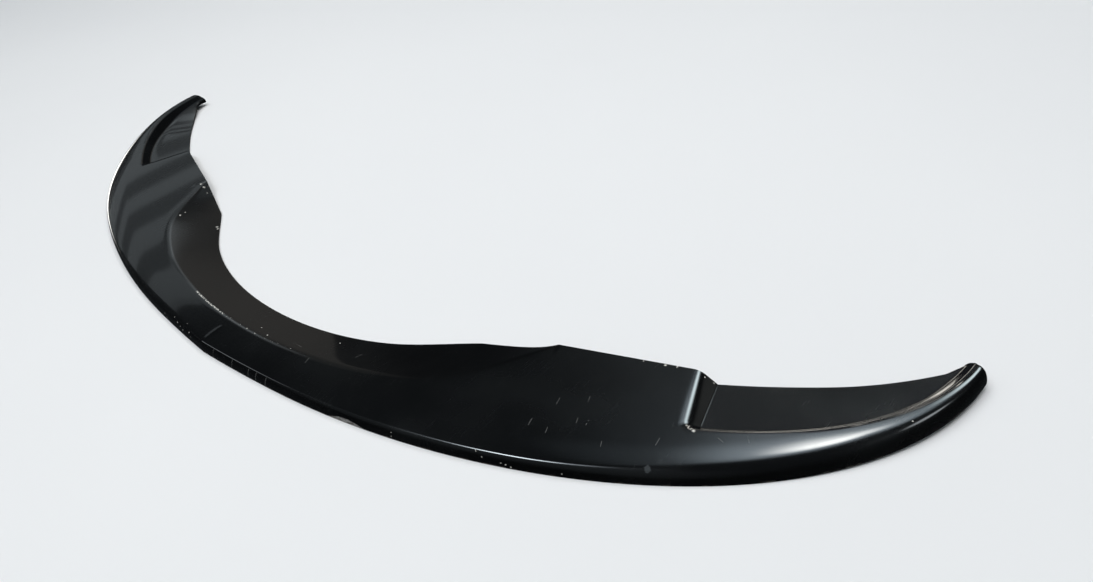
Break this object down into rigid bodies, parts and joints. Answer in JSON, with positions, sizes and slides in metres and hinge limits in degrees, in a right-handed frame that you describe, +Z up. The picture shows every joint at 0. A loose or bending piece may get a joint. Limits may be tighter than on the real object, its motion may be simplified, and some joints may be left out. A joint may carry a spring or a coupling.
{
  "type": "front splitter lip",
  "caption": "Curved lip that bolts under a car's front bumper: a thin moulded skin with a creased front edge, a shallow central scoop and sunk pockets before its lifted tips.",
  "frame": {"origin": "on the ground under the middle of the lip's box", "axes": "+X along the width to the lip's left-hand tip as the driver sees it, -Y towards the front edge, +Z up"},
  "size_m": [1.5978, 0.4489, 0.0252],
  "materials": {
    "gloss_black": "gloss"
  },
  "bodies": {
    "root": {"splitter_lip": "gloss_black"}
  },
  "joints": []
}
